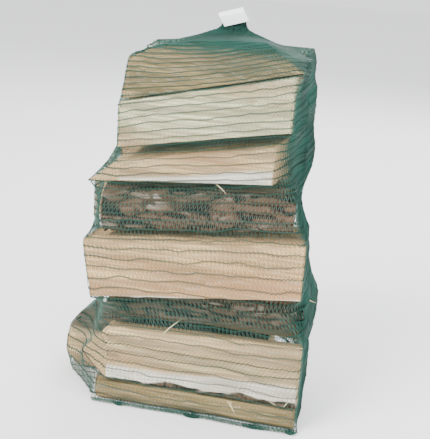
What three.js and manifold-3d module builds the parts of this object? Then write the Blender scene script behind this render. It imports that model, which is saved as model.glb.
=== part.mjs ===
// A filled net bag of split firewood: two columns of short logs stacked lengthwise across the bag, held in a
// knitted net that is drawn shut at the top under a folded card label.
// Millimetres, +Z up, +X along the logs, the front of the bag towards -Y.
import * as THREE from "three";
import { ConvexGeometry } from "three/addons/geometries/ConvexGeometry.js";
import { mergeVertices } from "three/addons/utils/BufferGeometryUtils.js";
import Module from "manifold-3d";

// Driving dimensions
const FLOOR_GAP = 2.4; // height of the lowest log faces, the net's thickness below them
const NET_OUTSIDE = 2.4; // how far the net's outer face stands off the logs
const NET_INSIDE = 0.8; // how far its inner face stands off the logs
const FRONT_REAR = -4; // rear face of the front column of logs
const LOW_FRONT_REAR = -25; // the same for the two lowest, which have the thick drum of a log behind them
const REAR_FRONT = 4; // front face of the rear column of logs
const ARC_STEPS = 5; // facets of a log's round bark side

const NECK = { x: 8, y: 0, low: 451, high: 467, halfWide: 19, halfThick: 5, taper: 0.75 };
const MOUTH = { halfWide: 6, halfThick: 1.6 }; // the slot left in the drawn neck
const LABEL = { wide: 30, high: 17, card: 0.6, clear: 0.4, tilt: 17, slant: 4.5 };
const RING_STEPS = 16;

const COLOURS = {
  split: 0xdcc49c,
  pale: 0xe0d8c0,
  weathered: 0x9a8a68,
  bark: 0x5b4a3c,
  net: 0x2f7f6f,
  card: 0xf2f2f4,
};

// Cross-sections of a log, as [u, v] from front (0) to rear (1) and from bottom (0) to top (1)
function arc(fromDegrees, toDegrees, centre, radius) {
  return Array.from({ length: ARC_STEPS + 1 }, (_, i) => {
    const a = THREE.MathUtils.degToRad(fromDegrees + ((toDegrees - fromDegrees) * i) / ARC_STEPS);
    return [centre[0] + radius[0] * Math.cos(a), centre[1] + radius[1] * Math.sin(a)];
  });
}

const SECTIONS = {
  sill: [[0.06, 0], [0, 0.3], [0, 0.72], [1, 1], [1, 0]],
  keel: [[0.1, 1], [0, 0.33], [0.04, 0], [1, 0.24], [1, 0.72]],
  shelf: [[0.12, 1], [0, 0.82], [0, 0.55], [0.1, 0.4], [1, 0], [1, 0.96]],
  plank: [[0, 0.16], [0, 0.97], [0.04, 1], [1, 0.98], [1, 0]],
  wedge: [[0, 0.02], [0.02, 0.96], [0.9, 1], [1, 0.5], [0.9, 0]],
  leaning: [[0, 0], [0.03, 0.12], [0.3, 1], [1, 0.86], [1, 0.04]],
  barkFront: [...arc(245, 115, [0.42, 0.5], [0.42, 0.52]), [1, 0.92], [1, 0.06]],
  barkRear: [...arc(-72, 72, [0.5, 0.5], [0.5, 0.5]), [0.04, 0.97], [0, 0.05]],
  ridgeRear: [[0, 0.04], [0, 0.94], [0.55, 1], [1, 0.62], [0.94, 0.2], [0.5, 0]],
  roofRear: [[0, 0.03], [0, 0.9], [0.2, 1], [0.75, 0.9], [1, 0.34], [0.97, 0.03]],
  drum: [...arc(-40, 70, [0.55, 0.5], [0.45, 0.5]), [0.12, 1], [0, 0.62], [0, 0.3], [0.09, 0], [0.8, 0]],
};

// Each log: its section, its front and rear faces, and its stations along X as [x, bottom, top].
// set is how far the front of an end is shifted along X, lean how far its foot is, as [left, right].
// tips are single corners that a crooked cut left standing out of an end.
const LOGS = [
  { name: "log_front_1", section: "sill", face: "weathered", y: [-92, LOW_FRONT_REAR],
    stations: [[-115, FLOOR_GAP, 38], [131, FLOOR_GAP, 40]] },
  { name: "log_front_2", section: "keel", face: "split", y: [-98, LOW_FRONT_REAR], set: [16, 0],
    stations: [[-116, 30.5, 100], [133, 32, 109]], tips: [[-146, -60, 46]] },
  { name: "log_front_3", section: "shelf", face: "bark", y: [-66, FRONT_REAR],
    stations: [[-116, 83.5, 120], [128, 90, 151]] },
  { name: "log_front_4", section: "plank", face: "split", y: [-97, FRONT_REAR], lean: [14, 0], set: [0, 10],
    stations: [[-135, 121.5, 205], [117, 153, 232]] },
  { name: "log_front_5", section: "barkFront", face: "bark", y: [-92, FRONT_REAR], set: [0, 12],
    stations: [[-117, 207, 272], [99, 235, 282]] },
  { name: "log_front_6", section: "plank", face: "split", y: [-90, FRONT_REAR], set: [8, -6],
    stations: [[-104, 273.5, 304], [88, 285, 339]], tips: [[-143, -64, 267.5]] },
  { name: "log_front_7", section: "plank", face: "pale", y: [-95, FRONT_REAR], set: [0, -3],
    stations: [[-98, 308.5, 371], [101, 343, 417]] },
  { name: "log_front_8", section: "leaning", face: "weathered", y: [-88, FRONT_REAR], set: [0, 5],
    stations: [[-98, 372.5, 420], [-70, 378.5, 432], [0, 394.5, 445], [60, 408.3, 445], [102, 419.5, 427]] },
  { name: "log_rear_1", section: "drum", face: "bark", y: [-20, 86],
    stations: [[-180, 14, 58], [-168, FLOOR_GAP, 74], [78, FLOOR_GAP, 70]] },
  { name: "log_rear_2", section: "ridgeRear", face: "split", y: [REAR_FRONT, 94],
    stations: [[-124, 76, 134], [127, 74, 139]] },
  { name: "log_rear_3", section: "barkRear", face: "bark", y: [REAR_FRONT + 2, 90],
    stations: [[-136, 136.5, 199], [110, 142, 196]] },
  { name: "log_rear_4", section: "roofRear", face: "split", y: [REAR_FRONT, 86],
    stations: [[-157, 201.5, 256], [88, 199, 262]] },
  { name: "log_rear_5", section: "barkRear", face: "bark", y: [REAR_FRONT, 95],
    stations: [[-126, 259, 322], [93, 265, 334], [104, 280, 326]] },
  { name: "log_rear_6", section: "wedge", face: "split", y: [REAR_FRONT + 1, 88],
    stations: [[-104, 325.5, 380], [101, 337, 386]] },
  { name: "log_rear_7", section: "ridgeRear", face: "pale", y: [REAR_FRONT, 84],
    stations: [[-97, 382.5, 428], [97, 388.5, 434]] },
];

// Logs that lie side by side; the net is drawn straight from each layer to the next.
const LAYERS = [
  ["log_front_1", "log_front_2", "log_rear_1"],
  ["log_front_2", "log_front_3", "log_rear_2"],
  ["log_front_4", "log_rear_3"],
  ["log_front_5", "log_rear_4"],
  ["log_front_6", "log_rear_5"],
  ["log_front_7", "log_rear_6"],
  ["log_front_8", "log_rear_7"],
];

const wasm = await Module();
wasm.setup();

function solid(geometry) {
  const bare = geometry.clone();
  bare.deleteAttribute("normal");
  bare.deleteAttribute("uv");
  const merged = mergeVertices(bare, 1e-4);
  return new wasm.Manifold(
    new wasm.Mesh({
      numProp: 3,
      vertProperties: merged.getAttribute("position").array,
      triVerts: new Uint32Array(merged.index.array),
    }),
  );
}

function geometryOf(manifold) {
  const made = manifold.getMesh();
  const geometry = new THREE.BufferGeometry();
  geometry.setAttribute("position", new THREE.BufferAttribute(made.vertProperties, 3));
  geometry.setIndex(new THREE.BufferAttribute(made.triVerts, 1));
  geometry.computeVertexNormals();
  return geometry;
}

function logCorners({ section, y, stations, set = [0, 0], lean = [0, 0], tips = [] }) {
  const corners = stations.flatMap(([x, low, high], index) => {
    const end = index === 0 ? 0 : index === stations.length - 1 ? 1 : null;
    return SECTIONS[section].map(([u, v]) => {
      const cut = end === null ? 0 : set[end] * (1 - u) + lean[end] * (1 - v);
      return new THREE.Vector3(x + cut, y[0] + (y[1] - y[0]) * u, low + (high - low) * v);
    });
  });
  return [...corners, ...tips.map((tip) => new THREE.Vector3(...tip))];
}

// The points of an octahedron of the given radius round each corner
function swollen(corners, radius) {
  const axes = [
    [1, 0, 0],
    [0, 1, 0],
    [0, 0, 1],
  ];
  return corners.flatMap((corner) =>
    axes.flatMap(([x, y, z]) =>
      [radius, -radius].map((r) => corner.clone().add(new THREE.Vector3(x * r, y * r, z * r))),
    ),
  );
}

function ring(halfWide, halfThick, height) {
  return Array.from({ length: RING_STEPS }, (_, i) => {
    const a = (2 * Math.PI * i) / RING_STEPS;
    return new THREE.Vector3(NECK.x + halfWide * Math.cos(a), NECK.y + halfThick * Math.sin(a), height);
  });
}

function hull(points) {
  return solid(new ConvexGeometry(points));
}

// The bag as one solid at a given distance from the logs, with its neck
function bagSolid(cornersOf, distance, neckLow, neckHigh) {
  const layers = LAYERS.map((names) => swollen(names.flatMap((name) => cornersOf.get(name)), distance));
  const spans = layers.slice(1).map((layer, i) => hull([...layers[i], ...layer]));
  spans.push(hull([...layers.at(-1), ...neckLow]));
  spans.push(hull([...neckLow, ...neckHigh]));
  return spans.reduce((all, next) => all.add(next));
}

function netBag(cornersOf) {
  const { low, high, halfWide, halfThick, taper } = NECK;
  const outside = bagSolid(
    cornersOf,
    NET_OUTSIDE,
    ring(halfWide, halfThick, low),
    ring(halfWide * taper, halfThick * taper, high),
  );
  const inside = bagSolid(
    cornersOf,
    NET_INSIDE,
    ring(MOUTH.halfWide, MOUTH.halfThick, low - 4),
    ring(MOUTH.halfWide, MOUTH.halfThick, high + 1),
  );
  return geometryOf(outside.subtract(inside));
}

// A card folded over the neck: an arch in the YZ plane, carried across the bag
function labelGeometry() {
  const inner = NECK.halfThick + LABEL.clear;
  const outer = inner + LABEL.card;
  const straight = LABEL.high - outer;
  const shape = new THREE.Shape();
  shape.moveTo(outer, 0);
  shape.lineTo(outer, straight);
  shape.absarc(0, straight, outer, 0, Math.PI, false);
  shape.lineTo(-outer, 0);
  shape.lineTo(-inner, 0);
  shape.lineTo(-inner, straight);
  shape.absarc(0, straight, inner, Math.PI, 0, true);
  shape.lineTo(inner, 0);
  shape.closePath();
  const geometry = new THREE.ExtrudeGeometry(shape, { depth: LABEL.wide, bevelEnabled: false, curveSegments: 12 });
  geometry.translate(0, 0, -LABEL.wide / 2);
  geometry.rotateX(Math.PI / 2); // the arch stands up, its width now along Y
  geometry.rotateZ(Math.PI / 2); // its width along X
  const slide = new THREE.Matrix4().makeShear(0, 0, 0, 0, -LABEL.slant / LABEL.high, 0);
  geometry.applyMatrix4(slide);
  return geometry;
}

function mesh(name, geometry, colour, roughness) {
  const made = new THREE.Mesh(geometry, new THREE.MeshStandardMaterial({ color: colour, roughness, metalness: 0 }));
  made.name = name;
  return made;
}

const bundle = new THREE.Group();
const cornersOf = new Map(LOGS.map((log) => [log.name, logCorners(log)]));
for (const log of LOGS) {
  bundle.add(mesh(log.name, new ConvexGeometry(cornersOf.get(log.name)), COLOURS[log.face], 0.85));
}
bundle.add(mesh("net_bag", netBag(cornersOf), COLOURS.net, 0.6));

const label = mesh("label", labelGeometry(), COLOURS.card, 0.5);
label.position.set(NECK.x + 4, NECK.y, NECK.high - LABEL.high + 10);
label.rotation.y = THREE.MathUtils.degToRad(-LABEL.tilt);
bundle.add(label);

// The origin is below the middle of the bag's box, on the surface it stands on
const box = new THREE.Box3().setFromObject(bundle);
bundle.position.set(-(box.min.x + box.max.x) / 2, -(box.min.y + box.max.y) / 2, -box.min.z);

export default bundle;
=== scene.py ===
"""A filled net bag of split firewood, as an add-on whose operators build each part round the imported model."""

import itertools
import math
from collections import namedtuple
import bmesh
import bpy
import numpy as np
from bpy.props import FloatProperty, FloatVectorProperty, IntProperty, PointerProperty
from mathutils import Matrix, Vector


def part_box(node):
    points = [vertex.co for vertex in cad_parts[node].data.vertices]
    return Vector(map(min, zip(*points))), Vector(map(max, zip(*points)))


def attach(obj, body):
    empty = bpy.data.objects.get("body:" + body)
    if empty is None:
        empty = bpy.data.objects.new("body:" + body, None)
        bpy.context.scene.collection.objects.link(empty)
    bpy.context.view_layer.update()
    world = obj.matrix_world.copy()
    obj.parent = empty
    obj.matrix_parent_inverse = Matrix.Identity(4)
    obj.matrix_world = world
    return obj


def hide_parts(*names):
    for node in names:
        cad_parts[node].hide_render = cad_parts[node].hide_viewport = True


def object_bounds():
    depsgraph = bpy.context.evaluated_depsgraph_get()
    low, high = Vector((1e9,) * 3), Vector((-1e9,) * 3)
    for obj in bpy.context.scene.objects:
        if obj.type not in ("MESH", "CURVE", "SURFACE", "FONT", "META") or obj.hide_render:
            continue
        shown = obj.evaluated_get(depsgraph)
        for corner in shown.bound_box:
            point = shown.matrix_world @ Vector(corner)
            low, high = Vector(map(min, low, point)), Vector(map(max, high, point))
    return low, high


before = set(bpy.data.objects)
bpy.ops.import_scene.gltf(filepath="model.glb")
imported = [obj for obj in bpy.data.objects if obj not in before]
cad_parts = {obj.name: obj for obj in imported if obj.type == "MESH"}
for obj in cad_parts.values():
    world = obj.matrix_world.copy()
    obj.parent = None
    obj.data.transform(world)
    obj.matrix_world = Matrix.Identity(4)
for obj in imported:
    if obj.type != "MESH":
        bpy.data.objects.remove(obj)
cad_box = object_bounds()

bl_info = {
    "name": "Firewood Bundle",
    "version": (1, 0, 0),
    "blender": (4, 5, 0),
    "location": "3D View > Sidebar > Firewood",
    "description": "Builds split logs in a knitted net bag with a folded label, and a small studio",
    "category": "Add Mesh",
}

MM = 0.001
TINY = 1e-9
BODY = "root"

# wood is the colour of a log's split faces, and slot a finish name that nothing in the script reads.
# bark is the stretch of angles with bark on it, in degrees round the log's length: 0 is the rear,
# 90 the top, 180 the front and 270 the underside.
# pith is where the growth rings centre, in millimetres rearwards and upwards from the log's middle.
# sapwood is how far from the pith the pale outer wood starts, in millimetres.
LOGS = {
    # log_front_1's darker olive wood is painted shade on its downward face.
    "log_front_1": ("weathered", "weathered_wood", (238, 300), (30, 70), 200),
    "log_front_2": ("tan", "split_wood", (222, 292), (30, 60), 97),
    # log_front_3 sits deep in a gap; its dark wood colour is painted shade.
    "log_front_3": ("dark", "bark", (128, 236), (50, 5), 200),
    "log_front_4": ("peach", "split_wood", (262, 318), (20, 95), 140),
    "log_front_5": ("brown", "bark", (106, 250), (45, 6), 84),
    "log_front_6": ("tan", "split_wood", (226, 300), (25, 60), 92),
    "log_front_7": ("cream", "pale_wood", (285, 340), (-30, 95), 200),
    "log_front_8": ("weathered", "weathered_wood", (25, 82), (-10, -75), 200),
    "log_rear_1": ("tan", "bark", (-60, 158), (-20, -10), 55),
    "log_rear_2": ("peach", "split_wood", (-66, -20), (-40, 60), 150),
    "log_rear_3": ("brown", "bark", (-76, 76), (-45, 0), 74),
    "log_rear_4": ("tan", "split_wood", (-80, -28), (-30, 70), 90),
    "log_rear_5": ("weathered", "bark", (-74, 74), (-50, 4), 80),
    "log_rear_6": ("cream", "split_wood", (62, 88), (-20, -80), 96),
    "log_rear_7": ("cream", "pale_wood", (48, 104), (-30, -60), 78),
}
LogLook = namedtuple("LogLook", "wood slot bark pith sapwood")
LOGS = {node: LogLook(*look) for node, look in LOGS.items()}

# Multipliers and shifts that scramble a cell's place into a number.
CELL_FACTORS = (73856093, 19349663, 83492791)
SEED_FACTOR = 2654435761
STIRS = ((13, 1274126177), (15, 2246822519))
LAST_SHIFT = 13
WORD = 0xFFFFFFFF

# The net closes on a neck above the logs. Heights are in metres, and scales are shares of the width at
# the neck's foot.
NECK = {
    "middle": (0.0315, 0.002),
    "half": (0.019, 0.005),
    "low": 0.451,
    "heights": (0.4535, 0.457, 0.461, 0.4655),
    "scales": (0.86, 0.74, 0.70, 0.66),
}
# The upright line inside the bag that its net is spread out from, and how wide and deep it fans out.
SPINE = (0.012, 0.0)
FAN = (0.150, 0.090)
# The height where the sides end and the crown starts to close on the neck.
SIDE_TOP = 0.372
# How steeply the net's rows climb to the right at these heights.
TILT_HEIGHTS = (0.0, 0.11, 0.20, 0.30, 0.37)
TILTS = (0.0, 0.015, 0.085, 0.15, 0.20)
# How far apart its chains are at these distances up it.
COURSE_HEIGHTS = (0.0, 0.225, 0.27, 0.40, 0.44, 0.52)
COURSE_PITCHES = (0.0142, 0.0142, 0.0105, 0.0092, 0.0066, 0.0046)
# Corners of the sewn bottom: place, how far they stick out and how soon that fades upwards.
EARS = ((0.155, -0.091, 0.009, 0.010), (-0.092, -0.091, 0.006, 0.012))
# Where the net is drawn with thicker yarn and painted shade: its right side, seen edge on, and its crown, where
# it bunches into the neck. How that grows to the right, rearwards from the front face and upwards.
DENSE_SHADE_RIGHT = (0.105, 0.130)
DENSE_SHADE_REAR = (-0.086, -0.070)
DENSE_SHADE_UP = (0.425, 0.448)
# Splinters caught in the net: root, tip and width.
SPLINTERS = (
    ((-0.0065, -0.0992, 0.1041), (0.0147, -0.0975, 0.1268), 0.0011),
    ((0.0762, -0.0965, 0.0304), (0.0871, -0.0925, 0.0110), 0.0013),
    ((0.0797, -0.0960, 0.0310), (0.0775, -0.0935, 0.0215), 0.0008),
    ((0.0440, -0.0955, 0.2902), (0.0574, -0.0950, 0.2803), 0.0010),
    ((0.1427, -0.0945, 0.0342), (0.1512, -0.0965, 0.0482), 0.0009),
    ((0.1260, -0.0955, 0.0380), (0.1383, -0.0930, 0.0308), 0.0008),
    ((0.0937, -0.0992, 0.0772), (0.1047, -0.0992, 0.0727), 0.0007),
    ((0.1490, -0.0280, 0.1455), (0.1625, -0.0310, 0.1440), 0.0018),
)
# Ends of the sewn hem. Its plies have a radius and turns along it, and its lumps a place and a width as
# shares of its length.
HEM_LEFT = (-0.094, -0.0935, 0.0034)
HEM_RIGHT = (0.160, -0.0945, 0.0034)
HEM_PLIES = ((0.0019, 62), (0.0022, -55), (0.0013, 90))
HEM_LUMPS = ((0.50, 0.035), (0.80, 0.045), (0.14, 0.02), (0.97, 0.02))
# Lamps: name, place, size and power as a share of the main lamp's.
LAMPS = (
    ("key_light", (-1.1, -1.9, 2.1), 1.3, 1.0),
    ("fill_light", (1.9, -1.3, 1.2), 1.5, 0.35),
    ("back_light", (0.3, 1.9, 1.8), 1.5, 0.4),
)
LAMP_TARGET = (0, 0, 0.22)
# The aimed point: rightwards and rearwards from the middle of the bundle, and its share of the height.
AIM_OFFSET = (0.0235, -0.088)
AIM_HEIGHT = 0.49
FLOOR = ((-6, -6, 0), (6, -6, 0), (6, 9, 0), (-6, 9, 0))
FLOOR_WHITE = (0.93, 0.93, 0.94)
SKY_WHITE = (0.97, 0.98, 1.0, 1.0)
LICHEN_GREY = (0.40, 0.33, 0.28, 1.0)


# ---- settings


def colour_setting(name, description, *rgb):
    return FloatVectorProperty(name=name, description=description, subtype="COLOR", default=rgb)


def length_setting(name, description, default):
    return FloatProperty(name=name, description=description, default=default, unit="LENGTH")


def angle_setting(name, description, degrees):
    return FloatProperty(name=name, description=description, default=math.radians(degrees), subtype="ANGLE")


class WoodColours(bpy.types.PropertyGroup):
    """Colours of the split wood, its bark, the net and the label."""

    peach: colour_setting("Peach", "Fresh split birch", 0.88, 0.52, 0.23)
    cream: colour_setting("Cream", "Pale dry split wood", 0.90, 0.76, 0.44)
    tan: colour_setting("Tan", "Split wood gone tan", 0.82, 0.54, 0.26)
    # A darker, duller olive than tan; on the downward face of log_front_1 that darkness is painted shade.
    weathered: colour_setting("Weathered", "Old olive grey wood", 0.38, 0.26, 0.10)
    brown: colour_setting("Brown", "Reddish wood next to the bark", 0.47, 0.26, 0.13)
    # Painted shade: a darkened brown for the wood of log_front_3, which sits deep in a gap.
    dark: colour_setting("Dark", "Dark wood under shaded bark", 0.26, 0.13, 0.07)
    flush: colour_setting("Flush", "Reddish streaks in the split wood", 0.55, 0.25, 0.10)
    sapwood: colour_setting("Sapwood", "White outer wood", 1.00, 0.96, 0.82)
    # Painted shade: near black for the floors of bark fissures and of drying cracks in the sawn ends.
    crevice_shade: colour_setting("Bark fissures", "Floor of the bark's fissures", 0.010, 0.008, 0.007)
    bark_high: colour_setting("Bark plates", "Face of the bark's plates", 0.125, 0.070, 0.043)
    card: colour_setting("Card", "Bare label card", 0.86, 0.87, 0.88)
    yarn: colour_setting("Yarn", "Green net yarn", 0.018, 0.085, 0.062)
    yarn_dark: colour_setting("Yarn dark", "Chains of the net", 0.008, 0.036, 0.026)
    yarn_light: colour_setting("Yarn light", "Thin threads of the net", 0.100, 0.180, 0.145)


class LogSizes(bpy.types.PropertyGroup):
    """How finely the logs are built and how deep their relief is."""

    around: length_setting("Step around", "Mesh step across the grain", 1.4 * MM)
    along: length_setting("Step along", "Mesh step along the grain", 3.6 * MM)
    fibre: length_setting("Fibre", "Depth of torn fibres", 0.8 * MM)
    ledge: length_setting("Ledge", "Depth of split ledges", 1.9 * MM)
    fissure: length_setting("Fissure", "Depth of bark fissures", 4.0 * MM)


class NetSizes(bpy.types.PropertyGroup):
    """Stitches and yarn of the net, and how it is pulled round the logs."""

    columns: IntProperty(name="Columns", description="Columns of the surface it lies on", default=300)
    row_step: length_setting("Row step", "Between rows of that surface", 3 * MM)
    crown_rows: IntProperty(name="Crown rows", description="Rows from the top logs to the neck", default=36)
    relax_steps: IntProperty(name="Relax steps", description="Rounds of pulling tight", default=260)
    stitches: IntProperty(name="Stitches", description="Stitches once round", default=172)
    chain: length_setting("Chain", "Radius of the chains", 0.50 * MM)
    thread: length_setting("Thread", "Radius of the threads", 0.30 * MM)
    scallop: length_setting("Scallop", "Depth of a stitch's curve", 2.1 * MM)
    standoff: length_setting("Standoff", "Gap to the logs", 0.8 * MM)
    slack: length_setting("Slack", "Ripples where it spans gaps", 1.6 * MM)
    floor_gap: length_setting("Floor gap", "Height of the underside", 1.1 * MM)
    first_touch: length_setting("First touch", "Height below which it hangs straight", 4 * MM)


class StageSettings(bpy.types.PropertyGroup):
    """The camera's angle and the strength of the lights."""

    azimuth: angle_setting("Azimuth", "Turn to the right", 12)
    elevation: angle_setting("Elevation", "Height angle", 16)
    roll: angle_setting("Roll", "Tilt of the view", 4)
    distance: length_setting("Distance", "To the aimed point", 1.1)
    lens: FloatProperty(name="Lens", description="Focal length in millimetres", default=79.1)
    aim: FloatVectorProperty(
        name="Aim",
        description="Where the aimed point lies in the view, as slopes",
        size=2,
        default=(-0.01865, -0.0088),
    )
    sky: FloatProperty(name="Sky", description="Strength of the even light", default=1.55)
    key: FloatProperty(name="Key", description="Power of the main lamp in watts", default=150.0)


class FirewoodSettings(bpy.types.PropertyGroup):
    """All settings of the firewood bundle."""

    colours: PointerProperty(type=WoodColours)
    logs: PointerProperty(type=LogSizes)
    net: PointerProperty(type=NetSizes)
    stage: PointerProperty(type=StageSettings)


# ---- shared geometry


def smooth(value, low, high):
    """0 below low, 1 above high, eased between."""
    t = np.clip((value - low) / (high - low), 0.0, 1.0)
    return t * t * (3 - 2 * t)


def fades(value, low, high):
    """1 below low, 0 above high, eased between."""
    return smooth(-value, -high, -low)


def blend(first, second, share):
    """From the first value at a share of 0 to the second at 1."""
    return first * (1 - share) + second * share


def lattice(cells, seed):
    """A repeatable number from -1 to 1 for each whole cell."""
    x, y, z = (cells[..., i].astype(np.int64) * CELL_FACTORS[i] for i in range(3))
    mixed = x ^ y ^ z ^ (seed * SEED_FACTOR)
    for shift, factor in STIRS:
        mixed = (mixed ^ (mixed >> shift)) * factor & WORD
    return (mixed ^ (mixed >> LAST_SHIFT)) / 2**31 - 1.0


def noise(points, scale, seed):
    """Smooth noise from -1 to 1 at points divided by scale, a size for each axis."""
    spot = points / np.asarray(scale)
    base = np.floor(spot)
    part = spot - base
    part = part * part * (3 - 2 * part)
    total = np.zeros(points.shape[:-1])
    for corner in itertools.product((0, 1), repeat=3):
        share = np.prod(np.where(np.array(corner), part, 1 - part), axis=-1)
        total += share * lattice(base + np.array(corner), seed)
    return total


def grained(points, seed, along, across):
    """Noise on a log, with its size along the grain and across it."""
    return noise(points, (along, across, across), seed)


def unit(value):
    """Noise moved from between -1 and 1 to between 0 and 1."""
    return value * 0.5 + 0.5


def solid_planes(node):
    """Outward unit normals and offsets of a convex CAD node's faces, each plane once."""
    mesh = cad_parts[node].data
    points = np.array([v.co for v in mesh.vertices])
    corners = np.array([list(p.vertices) for p in mesh.polygons])
    a, b, c = (points[corners[:, i]] for i in range(3))
    normals = np.cross(b - a, c - a)
    area = np.linalg.norm(normals, axis=1)
    keep = area > TINY
    normals = normals[keep] / area[keep, None]
    offsets = (normals * a[keep]).sum(1)
    # Offsets are compared to a tenth of a millimetre and normals to a thousandth.
    rounded = np.round(np.column_stack([normals, offsets * 10]), 3)
    first = np.unique(rounded, axis=0, return_index=True)[1]
    return normals[first], offsets[first]


def line_span(planes, origins, directions):
    """Where lines enter and leave a convex solid, in steps of their directions.

    A line that misses it leaves before it enters.
    """
    normals, offsets = planes
    facing = directions @ normals.T
    room = offsets - origins @ normals.T
    reach = room / np.where(np.abs(facing) < TINY, TINY, facing)
    leave = np.where(facing > TINY, reach, np.inf).min(-1)
    enter = np.where(facing < -TINY, reach, -np.inf).max(-1)
    outside = ((np.abs(facing) <= TINY) & (room < 0)).any(-1)
    return np.where(outside, np.inf, enter), np.where(outside, -np.inf, leave)


def closed_tube(name, rows):
    """A mesh object from rows of rings of points, closed by its first and last rows, each one point."""
    count, around = rows.shape[:2]
    sides = [(i, (i + 1) % around) for i in range(around)]
    rim, last = 1 + (count - 3) * around, 1 + (count - 2) * around
    faces = [(1 + b, 1 + a, 0) for a, b in sides]
    for low in range(1, rim, around):
        faces += [(low + a, low + b, low + b + around, low + a + around) for a, b in sides]
    faces += [(rim + a, rim + b, last) for a, b in sides]
    return mesh_object(name, row_values(rows), faces)


def scene_object(name, data):
    """A new object in the scene."""
    made = bpy.data.objects.new(name, data)
    bpy.context.scene.collection.objects.link(made)
    return made


def mesh_object(name, points, faces, edges=()):
    """An object in the scene with a mesh of these points, faces and loose edges."""
    mesh = bpy.data.meshes.new(name)
    mesh.from_pydata([tuple(p) for p in np.asarray(points).tolist()], list(edges), list(faces))
    mesh.validate()
    return scene_object(name, mesh)


def row_values(grid):
    """What a grid of rows holds at each vertex of a closed tube: one at each end, and the rest in turn."""
    between = grid[1:-1].reshape(-1, *grid.shape[2:])
    return np.concatenate([grid[0, :1], between, grid[-1, :1]])


def store(piece, name, values):
    """Keeps one number per vertex as an attribute of a piece."""
    attribute = piece.data.attributes.new(name, "FLOAT", "POINT")
    attribute.data.foreach_set("value", np.asarray(values, np.float32))


def finish_piece(piece, material, slot, *nodes):
    """Gives a piece its material and body, and hides the CAD nodes it stands for; its slot is not used."""
    piece.data.materials.clear()
    piece.data.materials.append(material)
    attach(piece, BODY)
    if nodes:
        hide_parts(*nodes)


# ---- logs


def spokes(angles):
    """Unit directions across a log or a strand, at these angles round it."""
    return np.stack([0 * angles, np.cos(angles), np.sin(angles)], -1)


def ring_angles(planes, middle, step):
    """Angles round a log that are about equal steps apart along its outline at mid length."""
    half_degrees = 720
    fine = np.linspace(0, 2 * math.pi, half_degrees + 1)
    reach = line_span(planes, np.tile(middle, (len(fine), 1)), spokes(fine))[1]
    outline = spokes(fine) * reach[:, None]
    run = np.concatenate([[0], np.cumsum(np.linalg.norm(np.diff(outline, axis=0), axis=1))])
    count = int(run[-1] / step)
    return np.interp(np.arange(count) * run[-1] / count, run, fine)


def spaced(count, edge):
    """Shares from 0 to 1 with two close steps at each end, so that edges stay crisp."""
    second = edge * 2.5
    inner = np.linspace(second, 1 - second, count)
    return np.concatenate([[0, edge], inner, [1 - edge, 1]])


def log_grid(node, sizes):
    """Rows of points over a log's CAD faces, with what build_log needs to know of each."""
    end_lean, edge_gap, cap_step = 0.45, 0.8 * MM, 2.2 * MM
    cap_last, cap_rim = 0.93, 0.985
    planes = solid_planes(node)
    is_end = np.abs(planes[0][:, 0]) > end_lean
    sides = planes[0][~is_end], planes[1][~is_end]
    ends = planes[0][is_end], planes[1][is_end]
    low, high = (np.array(corner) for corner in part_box(node))
    middle = (low + high) / 2

    # The log's mid height at stations along it, which its rows are centred on.
    stations = np.linspace(low[0], high[0], 60)
    foot = np.tile(middle, (len(stations), 1))
    foot[:, 0] = stations
    below, above = line_span(sides, foot, np.tile([0.0, 0.0, 1.0], (len(stations), 1)))
    heights = middle[2] + (below + above) / 2
    middle[2] = np.interp(middle[0], stations, heights)
    slope = np.polyfit(stations, heights, 1)[0]

    angles = ring_angles(sides, middle, sizes.around)
    length, radius = high[0] - low[0], min(high[1] - low[1], high[2] - low[2]) / 2
    share = spaced(int(length / sizes.along), edge_gap / length)
    cap = np.concatenate([np.linspace(0, cap_last, int(radius / cap_step)), [cap_rim]])
    share_rows = np.concatenate([np.zeros(len(cap)), share, np.ones(len(cap))])
    out_rows = np.concatenate([cap, np.ones(len(share)), cap[::-1]])

    along, out = share_rows[:, None], out_rows[:, None, None]
    outward = np.broadcast_to(spokes(angles), (len(share_rows), len(angles), 3))
    x = low[0] + length * np.broadcast_to(along, outward.shape[:2])
    # Each round moves the points to the solid's sides, then slides them lengthwise between its ends.
    for _ in range(4):
        centre = np.stack([x, 0 * x + middle[1], np.interp(x, stations, heights)], -1)
        reach = line_span(sides, centre, outward)[1]
        points = centre + outward * reach[..., None] * out
        foot = points.copy()
        foot[..., 0] = 0
        left, right = line_span(ends, foot, np.broadcast_to([1.0, 0.0, 0.0], foot.shape))
        x = blend(left, right, along)
    points[..., 0] = x
    depth_in = reach * (1 - out[..., 0])
    on_cap = np.broadcast_to(out_rows[:, None] < 1, x.shape)
    return points, angles, on_cap, depth_in, middle, slope


def grid_normals(points):
    """Outward unit normals of a rows-by-around grid."""
    across = np.roll(points, -1, 1) - np.roll(points, 1, 1)
    normals = np.cross(across, np.gradient(points, axis=0))
    normals[0], normals[-1] = (-1, 0, 0), (1, 0, 0)
    size = np.linalg.norm(normals, axis=-1, keepdims=True)
    return normals / np.maximum(size, 1e-12)


def within(angles, limits):
    """How far inside a stretch of angles each angle lies, in degrees; negative outside it."""
    centre, half = (limits[0] + limits[1]) / 2, (limits[1] - limits[0]) / 2
    return half - np.abs((np.degrees(angles) - centre + 180) % 360 - 180)


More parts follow.
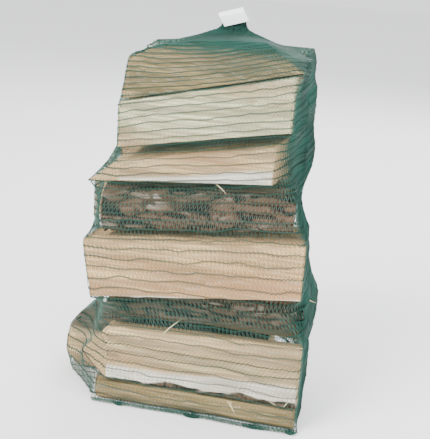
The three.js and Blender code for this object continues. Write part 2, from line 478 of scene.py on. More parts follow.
def torn_depth(points, around_run, sizes, seed):
    """How far a split face lies below its plane: broad hollows, ledges and torn fibres."""
    hollow_depth, ledge_pitch, ledge_lip = 1.4 * MM, 17 * MM, 0.12
    broad = unit(grained(points, seed, along=0.09, across=0.035))
    wander = grained(points, seed + 1, along=0.07, across=0.03)
    wander = wander + 0.35 * grained(points, seed + 2, along=0.02, across=0.01)
    ledge = (around_run / ledge_pitch + 0.9 * wander) % 1.0
    ledge = ledge * smooth(1 - ledge, 0.0, ledge_lip)
    fibre = grained(points, seed + 3, along=0.05, across=0.0028)
    fibre = fibre + 0.6 * grained(points, seed + 4, along=0.03, across=0.006)
    patch = smooth(grained(points, seed + 5, along=0.06, across=0.02), -0.3, 0.5)
    ledges = sizes.ledge * ledge * (0.35 + 0.65 * patch)
    return hollow_depth * broad + ledges + sizes.fibre * unit(fibre)


def bark_plates(points, seed):
    """How much of a bark plate stands at each point: 0 in a fissure, 1 on a plate."""
    most_bend = 4 * MM
    bend = most_bend * grained(points, seed + 10, along=0.03, across=0.012)
    warped = points + bend[..., None]
    lengthwise = np.abs(grained(warped, seed + 11, along=0.026, across=0.0060))
    short = np.abs(grained(warped, seed + 12, along=0.010, across=0.0075))
    plates = smooth(lengthwise, 0.02, 0.34) * (0.30 + 0.70 * smooth(short, 0.0, 0.26))
    crumbs = unit(grained(points, seed + 13, along=0.005, across=0.0024))
    return np.clip(plates * (0.55 + 0.45 * crumbs), 0, 1)


def end_cracks(points, pith, seed):
    """Drying cracks in a sawn end, 0 clear of them and 1 in one, running out from the pith."""
    crack_count, half_width, waver, taper = 9, 0.7 * MM, 0.6 * MM, 10 * MM
    rng = np.random.default_rng(seed)
    offset = points[..., 1:] - pith
    turn = np.arctan2(offset[..., 1], offset[..., 0])
    far = np.linalg.norm(offset, axis=-1)
    wavering = waver * grained(points, seed, along=1, across=0.004)
    cracks = np.zeros(far.shape)
    for _ in range(crack_count):
        heading = rng.uniform(-math.pi, math.pi)
        start, stop = rng.uniform(0.015, 0.05), rng.uniform(0.05, 0.12)
        aside = far * np.abs((turn - heading + math.pi) % (2 * math.pi) - math.pi)
        line = np.exp(-(((aside + wavering) / half_width) ** 2))
        along = smooth(far, start, start + taper) * fades(far, stop - taper, stop)
        cracks = np.maximum(cracks, line * along)
    return cracks


def build_log(node, look, sizes, seed):
    """One split log over its CAD solid, with torn split faces, plated bark and sawn ends."""
    bark_thick, saw_marks, crack_depth, worn_edge = 4.5 * MM, 0.25 * MM, 2.2 * MM, 0.8 * MM
    bark_waves, torn_shade_depth = 0.8 * MM, 4.5 * MM
    points, angles, on_cap, depth_in, middle, slope = log_grid(node, sizes)
    normals = grid_normals(points)
    pith = np.array([middle[1] + look.pith[0] * MM, middle[2] + look.pith[1] * MM])
    level = points[..., 1:] - np.stack([np.zeros_like(on_cap), slope * (points[..., 0] - middle[0])], -1)
    ring = np.linalg.norm(level - pith, axis=-1)

    step = np.linalg.norm(np.roll(points, -1, 1) - points, axis=-1)
    around_run = np.broadcast_to(np.cumsum(np.median(step[~on_cap.all(1)], axis=0)), ring.shape)

    ragged_degrees = 5 * grained(points, seed + 20, along=0.03, across=0.02)
    inside = within(angles, look.bark)[None, :] + ragged_degrees
    in_bark = np.where(on_cap, smooth(bark_thick - depth_in, 0.0, 0.8 * MM), 1.0)
    bark = smooth(inside, -0.8, 0.8) * in_bark
    plates = bark_plates(points, seed)
    sawn = on_cap.astype(float)
    cracks = end_cracks(points, pith, seed) * sawn

    torn = torn_depth(points, around_run, sizes, seed)
    saw_cut = saw_marks * (grained(points, seed + 6, along=1, across=0.02) + 1) + crack_depth * cracks
    bark_depth = sizes.fissure * (1 - plates)
    bark_depth = bark_depth + bark_waves * (grained(points, seed + 7, along=0.05, across=0.02) + 1)
    depth = np.where(on_cap, saw_cut, blend(torn, bark_depth, bark))
    worn = worn_edge * smooth(grained(points, seed + 8, along=0.012, across=0.012), -0.4, 0.8)
    rim = np.abs(np.gradient(sawn, axis=0)) > 0
    depth = depth + np.where(rim, worn, 0)
    surface = points - normals * depth[..., None]

    piece = closed_tube(node.replace("log", "split_log"), surface)
    # relief is low in torn hollows, end cracks and bark fissures; the wood material uses it to paint shade
    # there.
    relief = np.where(on_cap, 1 - cracks, np.where(bark > 0.5, plates, 1 - torn / torn_shade_depth))
    sapwood_start, sapwood_blend = look.sapwood * MM, 4 * MM
    waved_ring = ring + 0.004 * grained(points, seed + 9, along=0.08, across=0.02)
    sapwood = smooth(waved_ring, sapwood_start, sapwood_start + sapwood_blend)
    grids = {"bark": bark, "sawn": sawn, "relief": relief, "ring": ring, "sapwood": sapwood}
    for name, grid in grids.items():
        store(piece, name, row_values(grid))
    piece.data.shade_smooth()
    return piece


# ---- net surface


def yarn_room(origins, directions, standoff):
    """How far out along each ray the net clears the logs by the standoff, or 0 where it meets none."""
    reach = np.zeros(directions.shape[:-1])
    for node in LOGS:
        normals, offsets = solid_planes(node)
        enter, leave = line_span((normals, offsets + standoff), origins, directions)
        reach = np.maximum(reach, np.where(leave > np.maximum(enter, 0), leave, 0))
    return reach


def line_reach(origins, directions, first, second):
    """How far along each ray it passes closest to the line through two points."""
    edge = second - first
    across = np.cross(directions, edge)
    size = np.maximum((across**2).sum(-1), 1e-14)
    return (np.cross(first - origins, edge) * across).sum(-1) / size


def net_rays(net):
    """Rows of rays, as origins and unit directions: level, then tilting, then closing on the neck."""
    turn = math.pi / 2 + np.linspace(0, 2 * math.pi, net.columns, endpoint=False)
    round_x, round_y = FAN[0] * np.cos(turn), FAN[1] * np.sin(turn)
    heights = np.arange(net.floor_gap, SIDE_TOP, net.row_step)
    tilts = np.interp(heights, TILT_HEIGHTS, TILTS)
    origins = [np.tile([*SPINE, h], (net.columns, 1)) for h in heights]
    directions = [np.stack([round_x, round_y, tilt * round_x], -1) for tilt in tilts]
    start, neck = origins[-1] + directions[-1], neck_ring(turn, NECK["low"], 1.0)
    for share in np.linspace(0, 1, net.crown_rows + 1)[1:]:
        origins.append(origins[-1])
        directions.append(start + share * (neck - start) - origins[-1])
    origins, directions = np.array(origins), np.array(directions)
    length = np.linalg.norm(directions, axis=-1, keepdims=True)
    return origins, directions / length, length[-1, :, 0], turn


def neck_ring(turn, height, scale):
    """One level ring of the neck."""
    x, y = NECK["middle"]
    wide, thick = NECK["half"]
    ring = [x + scale * wide * np.cos(turn), y + scale * thick * np.sin(turn), np.full_like(turn, height)]
    return np.stack(ring, -1)


def taut_net(net):
    """Rows of points of the net pulled tight round the logs and up into the neck."""
    first_reach, least, most = 0.012, 0.004, 0.2
    strides, rounds = (36, 24, 16, 10, 6, 4, 2, 1), 3
    pull_across, pull_up = 0.55, 0.45
    origins, directions, neck_reach, turn = net_rays(net)
    lifted = origins.copy()
    lifted[..., 2] = np.maximum(lifted[..., 2], net.first_touch)
    room = yarn_room(lifted, directions, net.standoff)
    reach = np.maximum(room, first_reach)
    reach[-1] = neck_reach

    def chord(points, stride):
        """How far out each ray passes the line between its neighbours this many columns away."""
        return line_reach(origins, directions, np.roll(points, stride, 1), np.roll(points, -stride, 1))

    # Long chords first lift the net across the gaps between logs, then short pulls even it out.
    for stride in np.repeat(strides, rounds):
        lift = np.clip(chord(origins + reach[..., None] * directions, stride), 0, most)
        reach[:-1] = np.maximum(reach, lift)[:-1]
    for _ in range(net.relax_steps):
        points = origins + reach[..., None] * directions
        upward = reach.copy()
        upward[1:-1] = line_reach(origins[1:-1], directions[1:-1], points[:-2], points[2:])
        upward[0] = reach[1]
        pulled = np.clip(pull_across * chord(points, 1) + pull_up * upward, least, most)
        reach[:-1] = np.maximum(room, pulled)[:-1]
    points = origins + reach[..., None] * directions
    ripple = net.slack * smooth(reach - room, 0.001, 0.006) * noise(points, (0.03, 0.03, 0.022), 71)
    ripple *= fades(points[..., 2], 0.43, 0.450)
    ripple += corner_ears(points)
    points = points + ripple[..., None] * directions
    neck = [neck_ring(turn, z, s) for z, s in zip(NECK["heights"], NECK["scales"])]
    return pleated(np.concatenate([points, np.array(neck)]), turn)


def corner_ears(points):
    """How far the bottom corners of the flat-sewn bag stick out."""
    ear_width = 0.014
    total = np.zeros(points.shape[:2])
    for x, y, far, high in EARS:
        aside = np.hypot(points[..., 0] - x, points[..., 1] - y)
        total += far * np.exp(-((aside / ear_width) ** 2) - points[..., 2] / high)
    return total


def pleated(points, turn):
    """Folds that deepen as the net closes on its neck and end below the label."""
    depth, wide_folds, small_folds = 0.0016, 19, 31
    outward = points[..., :2] - NECK["middle"]
    away = np.linalg.norm(outward, axis=-1)
    fold = np.sin(wide_folds * turn + 2.5 * np.sin(3 * turn)) + 0.6 * np.sin(small_folds * turn + 1.0)
    amount = depth * smooth(points[..., 2], 0.428, 0.447) * fades(away, 0.025, 0.080) * (fold + 0.6)
    amount *= fades(points[..., 2], 0.450, 0.4555)
    points[..., :2] += outward / np.maximum(away, 1e-6)[..., None] * amount[..., None]
    return points


def even_columns(points, count):
    """The rows with count columns equally far apart along each, and each row's height up the net."""
    window, blur = 9, 4.0
    step = np.linalg.norm(np.roll(points, -1, 1) - points, axis=-1)
    run = np.concatenate([np.zeros((len(points), 1)), np.cumsum(step, axis=1)], axis=1)
    share = run / run[:, -1:]
    weights = np.exp(-0.5 * (np.arange(-window, window + 1) / blur) ** 2)
    padded = np.pad(share, ((window, window), (0, 0)), mode="edge")
    share = sum(w * padded[i : i + len(share)] for i, w in enumerate(weights / weights.sum()))
    closed = np.concatenate([points, points[:, :1]], axis=1)
    wanted = np.arange(count) / count
    rows = [[np.interp(wanted, s, axis) for axis in row.T] for s, row in zip(share, closed)]
    table = np.array(rows).transpose(0, 2, 1)
    rise = np.linalg.norm(np.diff(table, axis=0), axis=-1).mean(1)
    return table, np.concatenate([[0], np.cumsum(rise)])


def on_net(surface, up, share):
    """Points of the net at distances up it and shares of the way round it."""
    table, rise = surface
    row = np.interp(up, rise, np.arange(len(rise)))
    low = np.clip(np.floor(row).astype(int), 0, len(rise) - 2)
    column = (share % 1.0) * table.shape[1]
    left = np.floor(column).astype(int) % table.shape[1]
    right = (left + 1) % table.shape[1]
    part = (column - np.floor(column))[..., None]
    below, above = (blend(table[rows, left], table[rows, right], part) for rows in (low, low + 1))
    return blend(below, above, (row - low)[..., None])


def course_heights(top):
    """Distances up the net of its chains, wide apart round the lower logs and close together above."""
    heights = [0.006]
    while heights[-1] < top:
        heights.append(heights[-1] + np.interp(heights[-1], COURSE_HEIGHTS, COURSE_PITCHES))
    return np.array([height for height in heights if height <= top])


def chain_up(heights, index, share, net):
    """How far up the net a chain runs at each share of the way round, with its droops and scallops."""
    radius, apart, full_pitch = 0.15, 0.012, 0.012
    around = 2 * math.pi * share
    spot = np.stack([radius * np.cos(around), radius * np.sin(around), apart * index + 0 * share], -1)
    droop = 0.26 * noise(spot, (0.045, 0.045, 0.030), 72) + 0.12 * noise(spot, (0.014, 0.014, 0.012), 73)
    pitch = np.interp(heights[index], COURSE_HEIGHTS, COURSE_PITCHES)
    scallop = net.scallop * (np.abs(np.sin(math.pi * net.stitches * share)) - 0.6)
    return heights[index] + droop * pitch + scallop * np.minimum(1, pitch / full_pitch)


# ---- yarn


def yarn_tree():
    """Geometry nodes that turn wires into yarn as thick as their thick attribute says."""
    tree = bpy.data.node_groups.new("yarn", "GeometryNodeTree")
    for name, way, kind in (
        ("Geometry", "INPUT", "Geometry"),
        ("Sides", "INPUT", "Int"),
        ("Material", "INPUT", "Material"),
        ("Geometry", "OUTPUT", "Geometry"),
    ):
        tree.interface.new_socket(name, in_out=way, socket_type="NodeSocket" + kind)
    add = tree.nodes.new
    source, result = add("NodeGroupInput"), add("NodeGroupOutput")
    curve, thick = add("GeometryNodeMeshToCurve"), add("GeometryNodeInputNamedAttribute")
    thick.data_type = "FLOAT"
    thick.inputs["Name"].default_value = "thick"
    profile, tube = add("GeometryNodeCurvePrimitiveCircle"), add("GeometryNodeCurveToMesh")
    profile.inputs["Radius"].default_value = 1.0
    realize, paint = add("GeometryNodeRealizeInstances"), add("GeometryNodeSetMaterial")
    for start, output, end, entry in (
        (source, "Geometry", curve, "Mesh"),
        (source, "Sides", profile, "Resolution"),
        (curve, "Curve", tube, "Curve"),
        (thick, "Attribute", tube, "Scale"),
        (profile, "Curve", tube, "Profile Curve"),
        (tube, "Mesh", realize, "Geometry"),
        (realize, "Geometry", paint, "Geometry"),
        (source, "Material", paint, "Material"),
        (paint, "Geometry", result, "Geometry"),
    ):
        tree.links.new(start.outputs[output], end.inputs[entry])
    return tree


def spin(name, strands, sides, material):
    """A piece of yarn along strands: each its points, thickness, tone and whether it closes on itself."""
    tree = bpy.data.node_groups.get("yarn") or yarn_tree()
    points, thick, tone, edges = [], [], [], []
    for path, width, shade, closed in strands:
        start, count = sum(map(len, points)), len(path)
        points.append(path)
        thick.append(np.broadcast_to(width, count))
        tone.append(np.broadcast_to(shade, count))
        order = np.arange(count)
        pairs = np.stack([order, (order + 1) % count], -1)[: count if closed else count - 1]
        edges.append(pairs + start)
    edges = [tuple(pair) for pair in np.concatenate(edges).tolist()]
    piece = mesh_object(name, np.concatenate(points), [], edges)
    store(piece, "thick", np.concatenate(thick))
    store(piece, "tone", np.concatenate(tone))
    modifier = piece.modifiers.new("yarn", "NODES")
    modifier.node_group = tree
    values = {"Sides": sides, "Material": material}
    for item in tree.interface.items_tree:
        if item.name in values:
            modifier[item.identifier] = values[item.name]
    shaped = piece.evaluated_get(bpy.context.evaluated_depsgraph_get())
    mesh = bpy.data.meshes.new_from_object(shaped)
    piece.modifiers.clear()
    piece.data = mesh
    mesh.shade_smooth()
    return piece


def dense_and_shaded(path):
    """How much thicker and darker with painted shade the net is drawn at each point, most on its right side and
    where it closes, from 0 to 1.
    """
    side = smooth(path[:, 0], *DENSE_SHADE_RIGHT) * smooth(path[:, 1], *DENSE_SHADE_REAR)
    return np.maximum(side, smooth(path[:, 2], *DENSE_SHADE_UP))


def chains_and_threads(surface, net):
    """Strands of every chain round the net and of the threads that zigzag from each to the next."""
    rng = np.random.default_rng(7)
    chain_steps, long_pitch, jitter = 3, 0.0105, 0.16
    heights = course_heights(surface[1][-1])
    chains, threads = [], []
    steps = net.stitches * chain_steps
    share = np.arange(steps) / steps
    tones = rng.uniform(0, 1, len(heights))
    for index in range(len(heights)):
        path = on_net(surface, chain_up(heights, index, share, net), share)
        knot = np.abs(np.cos(math.pi * net.stitches * share))
        # Chains are thicker where the net is dense, and darkened there with painted shade.
        dense_shade = dense_and_shaded(path)
        width = net.chain * (0.85 + 0.35 * knot) * (1 + 1.1 * dense_shade)
        chains.append((path, width, 0.25 * tones[index] * (1 - dense_shade), True))
    for index in range(len(heights) - 1):
        legs = 3 if heights[index + 1] - heights[index] > long_pitch else 2
        count = net.stitches * 2
        corner = (np.arange(count) + rng.uniform(-jitter, jitter, count)) / count
        share = np.concatenate([corner, [corner[0] + 1]])
        step = np.arange(legs) / legs
        share = blend(share[:-1, None], share[1:, None], step).reshape(-1)
        rise = np.where(np.arange(count)[:, None] % 2 == 0, step, 1 - step).reshape(-1)
        low, high = (chain_up(heights, i, share, net) for i in (index, index + 1))
        path = on_net(surface, blend(low, high, rise), share)
        # Threads are thicker there too, and darkened with painted shade.
        dense_shade = dense_and_shaded(path)
        tone = rng.uniform(0.55, 1.0) * (1 - 0.95 * dense_shade)
        threads.append((path, net.thread * (1 + 2.0 * dense_shade), tone, True))
    return chains, threads


def underside(surface, net):
    """Strands of the flat net under the logs, inside its lowest row."""
    front_gap, rear_gap, row_gap, cells, wave_depth = 0.004, 0.003, 0.0135, 58, 0.0006
    chain_tone, thread_tone = 0.2, 0.7
    ring = surface[0][0]
    after = np.roll(ring, -1, 0)
    rows = np.arange(ring[:, 1].min() + front_gap, ring[:, 1].max() - rear_gap, row_gap)
    spans = []
    for y in rows:
        crossing = (ring[:, 1] - y) * (after[:, 1] - y) <= 0
        start, stop = ring[crossing], after[crossing]
        part = (y - start[:, 1]) / (stop[:, 1] - start[:, 1] + 1e-12)
        x = start[:, 0] + part * (stop[:, 0] - start[:, 0])
        spans.append((x.min(), x.max()))
    strands, threads = [], []
    share = np.arange(cells * 2 + 1) / (cells * 2)
    odd = np.arange(len(share)) % 2
    level = np.full_like(share, net.floor_gap)
    for index, (y, (left, right)) in enumerate(zip(rows, spans)):
        x = left + share * (right - left)
        strands.append((np.stack([x, y + wave_depth * odd, level], -1), net.chain, chain_tone, False))
        if index:
            before = spans[index - 1]
            lows = before[0] + share * (before[1] - before[0])
            zigzag = np.stack([np.where(odd, x, lows), np.where(odd, y, rows[index - 1]), level], -1)
            threads.append((zigzag, net.thread, thread_tone, False))
    return strands, threads


def hem(net):
    """Strands of the overlocked seam along the front of the underside, with its thick dark lumps."""
    rng = np.random.default_rng(11)
    seam_steps, lump_steps, lump_turns = 1200, 90, 13
    left, right = np.array(HEM_LEFT), np.array(HEM_RIGHT)
    share = np.linspace(0, 1, seam_steps)
    middle = left + share[:, None] * (right - left)
    middle[:, 2] += 0.0006 * np.sin(14 * share)
    middle[:, 1] -= 0.0012 * np.sin(9 * share + 1)
    lump = sum(np.exp(-(((share - at) / wide) ** 2)) for at, wide in HEM_LUMPS)
    strands = []
    for ply, (radius, turns) in enumerate(HEM_PLIES):
        angle = 2 * math.pi * turns * share + ply
        far = radius * (1 + 0.35 * lump) + 0.0003 * rng.normal(size=len(share))
        path = middle + far[:, None] * spokes(angle)
        path[:, 2] = np.maximum(path[:, 2], net.floor_gap)
        shade = 0.6 - 0.6 * np.clip(lump, 0, 1)
        strands.append((path, net.chain * (0.75 + 0.3 * lump), shade, False))
    for at, wide in HEM_LUMPS:
        along = np.linspace(0, 1, lump_steps)
        angle = 2 * math.pi * lump_turns * along
        x = left[0] + (right - left)[0] * (at + wide * 2.2 * (along - 0.5))
        far = 0.0016 * np.sin(math.pi * along)
        core = np.stack([x, 0 * x + left[1] - 0.0022, 0 * x + 0.0026], -1)
        strands.append((core + far[:, None] * spokes(angle), net.chain * 1.25, 0.0, False))
    return strands


# ---- label and splinters


def build_label():
    """The folded card over the neck, its two leaves a little curled."""
    sharp_edge, round_edge, long_edge, curl = 0.7, 0.12 * MM, 4 * MM, 0.35 * MM
    work = bmesh.new()
    work.from_mesh(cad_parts["label"].data)
    bmesh.ops.remove_doubles(work, verts=work.verts, dist=0.01 * MM)
    bmesh.ops.dissolve_limit(work, angle_limit=math.radians(1), verts=work.verts, edges=work.edges)
    sharp = [edge for edge in work.edges if edge.calc_face_angle(0) > sharp_edge]
    bmesh.ops.bevel(work, geom=sharp, offset=round_edge, segments=2, profile=0.5, affect="EDGES")
    bmesh.ops.triangulate(work, faces=work.faces)
    bmesh.ops.subdivide_edges(work, edges=[e for e in work.edges if e.calc_length() > long_edge], cuts=5)
    bmesh.ops.triangulate(work, faces=work.faces)
    mesh = bpy.data.meshes.new("folded_label")
    work.to_mesh(mesh)
    work.free()
    points = np.array([v.co for v in mesh.vertices])
    points[:, 1] += curl * noise(points * (1, 0, 1), (0.016, 1, 0.012), 91)
    mesh.vertices.foreach_set("co", points.ravel())
    mesh.update()
    return scene_object("folded_label", mesh)


def build_splinters():
    """Thin splinters caught in the net, as one piece."""
    steps, sides, bow, flatness, first_turn = 9, 4, 0.0004, 0.45, 0.4
    rows, faces = [], []
    for root, tip, wide in SPLINTERS:
        root, tip = np.array(root), np.array(tip)
        along = (tip - root) / np.linalg.norm(tip - root)
        side = np.cross(along, (0, 1, 0.2))
        side /= np.linalg.norm(side)
        lift = np.cross(side, along)
        start = len(rows)
        for step in range(steps):
            t = step / (steps - 1)
            centre = root + t * (tip - root) + side * bow * math.sin(5 * t + 20 * wide)
            swell = 0.35 + 0.65 * math.sin(math.pi * min(1, 0.15 + t)) ** 0.7
            half = wide / 3 * swell * (1 - 0.85 * t**3)
            for turn in range(sides):
                angle = math.pi / 2 * turn + first_turn
                rows.append(centre + half * (side * math.cos(angle) + flatness * lift * math.sin(angle)))
        for step, turn in itertools.product(range(steps - 1), range(sides)):
            a, b = start + sides * step + turn, start + sides * step + (turn + 1) % sides
            faces.append((a, b, b + sides, a + sides))
        end = start + sides * (steps - 1)
        faces.append(tuple(range(start + sides - 1, start - 1, -1)))
        faces.append(tuple(range(end, end + sides)))
    return mesh_object("splinters", rows, faces)


# ---- materials


class Nodes:
    """Short calls for building a material's node tree."""

    def __init__(self, name):
        self.material = bpy.data.materials.new(name)
        self.material.use_nodes = True
        self.tree = self.material.node_tree
        self.shader = self.tree.nodes["Principled BSDF"]

    def add(self, kind, values, **settings):
        node = self.tree.nodes.new(kind)
        for key, value in settings.items():
            setattr(node, key, value)
        for key, value in values.items():
            self.put(value, node.inputs[key])
        return node

    def put(self, value, socket):
        """Links a socket's value to an input, or sets the input to a plain value."""
        if isinstance(value, bpy.types.NodeSocket):
            self.tree.links.new(value, socket)
        else:
            socket.default_value = value

    def finish(self, colour, roughness, specular=None):
        """Gives the shader its colour, roughness and shine."""
        self.put(colour, self.shader.inputs["Base Color"])
        self.put(roughness, self.shader.inputs["Roughness"])
        if specular is not None:
            self.put(specular, self.shader.inputs["Specular IOR Level"])
        return self.material

    def attribute(self, name):
        return self.add("ShaderNodeAttribute", {}, attribute_name=name).outputs["Fac"]

    def math(self, operation, *values):
        return self.add("ShaderNodeMath", dict(enumerate(values)), operation=operation).outputs[0]

    def mix(self, factor, first, second):
        return self.add("ShaderNodeMix", {0: factor, 6: first, 7: second}, data_type="RGBA").outputs[2]

    def spread(self, value, low, high, at_low=0.0, at_high=1.0):
        """A value moved from between low and high to between at_low and at_high."""
        values = {"Value": value, "From Min": low, "From Max": high, "To Min": at_low, "To Max": at_high}
        return self.add("ShaderNodeMapRange", values).outputs["Result"]

    def cover(self, under, over, value, low, high, at_low=0.0, at_high=1.0):
        """One colour laid over another, from at_low to at_high of it as a value runs from low to high."""
        return self.mix(self.spread(value, low, high, at_low, at_high), under, over)

    def texture(self, scale, detail, stretch=(1, 1, 1), offset=(0, 0, 0)):
        """Noise on Object coordinates, finer along the axes with a larger stretch."""
        place = self.add("ShaderNodeTexCoord", {}).outputs["Object"]
        moved = self.add("ShaderNodeMapping", {"Vector": place, "Scale": stretch, "Location": offset})
        values = {"Vector": moved.outputs[0], "Scale": scale, "Detail": detail}
        return self.add("ShaderNodeTexNoise", values).outputs["Fac"]

    def bump(self, height, strength, distance):
        values = {"Height": height, "Strength": strength, "Distance": distance}
        self.put(self.add("ShaderNodeBump", values).outputs[0], self.shader.inputs["Normal"])


def rgba(colour, factor=1.0):
    """A colour made lighter or darker by a factor, with full alpha."""
    return (*[min(1.0, c * factor) for c in colour], 1.0)


def wood_material(kind, colours):
    """Split wood with its grain, sapwood, sawn ends and bark, told apart by the log's attributes."""
    ring_gap, ring_waver, late_share = 0.0034, 0.016, 0.38
    n = Nodes("wood_" + kind)
    base = getattr(colours, kind)
    bark, sawn, relief = n.attribute("bark"), n.attribute("sawn"), n.attribute("relief")
    streaks = n.texture(60, 5, stretch=(0.1, 6, 6))
    fine = n.texture(120, 3, stretch=(0.25, 9, 9))
    blotch = n.texture(14, 3, stretch=(0.5, 1.6, 1.6))
    broad = n.texture(22, 4, stretch=(0.22, 4, 4), offset=(1, 4, 2))
    flush = n.texture(11, 4, stretch=(0.35, 2.5, 2.5), offset=(5, 2, 7))
    lichen = n.texture(38, 4, stretch=(0.6, 1.5, 1.5), offset=(3, 1, 2))

    waver = n.math("MULTIPLY", n.texture(9, 2, stretch=(0.6, 3, 3)), ring_waver)
    rings = n.math("MULTIPLY", n.math("ADD", n.attribute("ring"), waver), 2 * math.pi / ring_gap)
    late = n.math("POWER", n.spread(n.math("SINE", rings), -1, 1), 3)

    wood = n.cover(rgba(base, 0.6), rgba(base, 1.32), streaks, 0.38, 0.62)
    wood = n.cover(wood, rgba(base, 0.5), blotch, 0.5, 0.72, at_high=0.5)
    wood = n.cover(wood, rgba(base, 0.42), broad, 0.47, 0.6, at_high=0.8)
    wood = n.cover(wood, rgba(colours.flush), flush, 0.5, 0.66, at_high=0.62)
    wood = n.mix(n.math("MULTIPLY", n.attribute("sapwood"), 0.9), wood, rgba(colours.sapwood))
    wood = n.mix(n.math("MULTIPLY", late, late_share), wood, rgba(base, 0.5))
    # Painted shade: torn hollows and ledges of the split faces darken with their depth.
    wood = n.cover(wood, rgba(base, 0.34), relief, 0.1, 0.72, at_low=0.85, at_high=0)
    wood = n.cover(wood, rgba(colours.sapwood, 1.1), fine, 0.55, 0.75, at_high=0.3)

    # The sawn ends, which show the rings square on.
    cut = n.mix(late, rgba(base, 0.92), rgba(base, 0.55))
    cut = n.cover(cut, rgba(base, 0.6), blotch, 0.4, 0.7, at_high=0.45)
    # Painted shade in the drying cracks of the sawn ends.
    cut = n.cover(cut, rgba(colours.crevice_shade, 2), relief, 0.2, 0.8, at_low=0.9, at_high=0)
    wood = n.mix(sawn, wood, cut)

    # Painted shade on the floors of the bark fissures; the plates keep the bark's own colour.
    skin = n.cover(rgba(colours.crevice_shade), rgba(colours.bark_high), relief, 0.1, 0.75)
    skin = n.cover(skin, rgba(colours.brown, 0.34), blotch, 0.48, 0.72, at_high=0.5)
    grey = n.math("MULTIPLY", n.spread(lichen, 0.55, 0.72), n.spread(relief, 0.45, 0.8))
    skin = n.mix(grey, skin, LICHEN_GREY)

    height = n.math("ADD", n.math("MULTIPLY", fine, 0.6), n.math("MULTIPLY", streaks, 0.8))
    n.bump(height, strength=0.55, distance=0.0009)
    return n.finish(n.mix(bark, wood, skin), n.spread(bark, 0, 1, 0.72, 0.92), specular=0.3)


def yarn_material(name, colours):
    """Knitted plastic yarn, darker where its tone is low."""
    n = Nodes(name)
    colour = n.mix(n.attribute("tone"), rgba(colours.yarn_dark), rgba(colours.yarn_light))
    colour = n.cover(colour, rgba(colours.yarn), n.texture(22.0, 3.0), 0.4, 0.65, at_high=0.5)
    return n.finish(colour, 0.6, specular=0.12)


def plain_material(name, colour, roughness):
    return Nodes(name).finish(rgba(colour), roughness)


# ---- operators


class FIREWOOD_OT_logs(bpy.types.Operator):
    """Build the split logs of both columns"""

    bl_idname = "firewood.logs"
    bl_label = "Build logs"

    def execute(self, context):
        settings = context.scene.firewood
        woods = {}
        for seed, (node, look) in enumerate(LOGS.items(), start=1):
            if look.wood not in woods:
                woods[look.wood] = wood_material(look.wood, settings.colours)
            piece = build_log(node, look, settings.logs, 100 * seed)
            finish_piece(piece, woods[look.wood], look.slot, node)
        return {"FINISHED"}


class FIREWOOD_OT_net(bpy.types.Operator):
    """Knit the net round the logs, up to its neck and under them, and sew its hem"""

    bl_idname = "firewood.net"
    bl_label = "Knit net"

    def execute(self, context):
        settings = context.scene.firewood
        net = settings.net
        surface = even_columns(taut_net(net), net.stitches * 4)
        chains, threads = chains_and_threads(surface, net)
        flat_chains, flat_threads = underside(surface, net)
        yarn = yarn_material("net_yarn", settings.colours)
        third = len(chains) // 3
        pieces = {}
        for kind, strands, flat, sides in (
            ("chains", chains, flat_chains, 4),
            ("threads", threads, flat_threads, 3),
        ):
            pieces[f"net_{kind}_lower"] = (strands[:third] + flat, sides)
            pieces[f"net_{kind}_middle"] = (strands[third : third * 2], sides)
            pieces[f"net_{kind}_upper"] = (strands[third * 2 :], sides)
        pieces["net_hem"] = (hem(net), 5)
        for name, (strands, sides) in pieces.items():
            finish_piece(spin(name, strands, sides, yarn), yarn, "net", "net_bag")
        return {"FINISHED"}


class FIREWOOD_OT_label(bpy.types.Operator):
    """Fold the bare card label over the neck"""

    bl_idname = "firewood.label"
    bl_label = "Fold label"

    def execute(self, context):
        card = plain_material("card", context.scene.firewood.colours.card, 0.5)
        finish_piece(build_label(), card, "card", "label")
        return {"FINISHED"}


class FIREWOOD_OT_splinters(bpy.types.Operator):
    """Catch a few splinters in the net"""

    bl_idname = "firewood.splinters"
    bl_label = "Add splinters"

    def execute(self, context):
        straw = plain_material("splinter", context.scene.firewood.colours.cream, 0.7)
        finish_piece(build_splinters(), straw, "pale_wood")
        return {"FINISHED"}


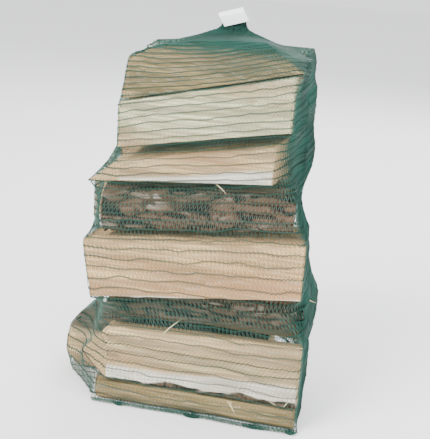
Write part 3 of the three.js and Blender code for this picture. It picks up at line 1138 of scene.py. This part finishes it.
class FIREWOOD_OT_stage(bpy.types.Operator):
    """Lay the pale floor, hang the soft lights and place the camera"""

    bl_idname = "firewood.stage"
    bl_label = "Build stage"

    def execute(self, context):
        scene = context.scene
        stage = scene.firewood.stage
        floor = mesh_object("floor", FLOOR, [(0, 1, 2, 3)])
        floor.data.materials.append(plain_material("pale_floor", FLOOR_WHITE, 0.6))
        scene.world = bpy.data.worlds.new("studio")
        scene.world.use_nodes = True
        sky = scene.world.node_tree.nodes["Background"]
        sky.inputs[0].default_value = SKY_WHITE
        sky.inputs[1].default_value = stage.sky
        for name, place, size, share in LAMPS:
            lamp = bpy.data.lights.new(name, "AREA")
            lamp.energy, lamp.size = stage.key * share, size
            light = scene_object(name, lamp)
            light.location = place
            light.rotation_euler = (Vector(LAMP_TARGET) - Vector(place)).to_track_quat("-Z", "Y").to_euler()
        self.camera(scene, stage)
        return {"FINISHED"}

    def camera(self, scene, stage):
        """Turns the view to the right, up and round its own axis, and aims it at the bundle."""
        data = bpy.data.cameras.new("view")
        data.lens, data.sensor_width = stage.lens, 36.0
        low, high = (Vector(corner) for corner in cad_box)
        target = Vector((
            (low.x + high.x) / 2 + AIM_OFFSET[0],
            (low.y + high.y) / 2 + AIM_OFFSET[1],
            high.z * AIM_HEIGHT,
        ))
        turn = Matrix.Rotation(stage.azimuth, 4, "Z")
        turn @= Matrix.Rotation(math.pi / 2 - stage.elevation, 4, "X")
        turn @= Matrix.Rotation(stage.roll, 4, "Z")
        aim = turn @ Vector((*stage.aim, -1))
        scene.camera = scene_object("view", data)
        scene.camera.matrix_world = Matrix.Translation(target - aim * stage.distance) @ turn


class FIREWOOD_PT_panel(bpy.types.Panel):
    """Buttons for each part of the bundle"""

    bl_idname = "FIREWOOD_PT_panel"
    bl_label = "Firewood bundle"
    bl_space_type = "VIEW_3D"
    bl_region_type = "UI"
    bl_category = "Firewood"

    def draw(self, context):
        for operator in OPERATORS:
            self.layout.operator(operator.bl_idname)


OPERATORS = (FIREWOOD_OT_logs, FIREWOOD_OT_net, FIREWOOD_OT_label, FIREWOOD_OT_splinters, FIREWOOD_OT_stage)
GROUPS = (WoodColours, LogSizes, NetSizes, StageSettings, FirewoodSettings)


def register():
    for cls in (*GROUPS, *OPERATORS, FIREWOOD_PT_panel):
        bpy.utils.register_class(cls)
    bpy.types.Scene.firewood = PointerProperty(type=FirewoodSettings)


def unregister():
    del bpy.types.Scene.firewood
    for cls in reversed((*GROUPS, *OPERATORS, FIREWOOD_PT_panel)):
        bpy.utils.unregister_class(cls)


def main():
    register()
    bpy.ops.firewood.logs()
    bpy.ops.firewood.net()
    bpy.ops.firewood.label()
    bpy.ops.firewood.splinters()
    bpy.ops.firewood.stage()


if __name__ == "__main__":
    main()
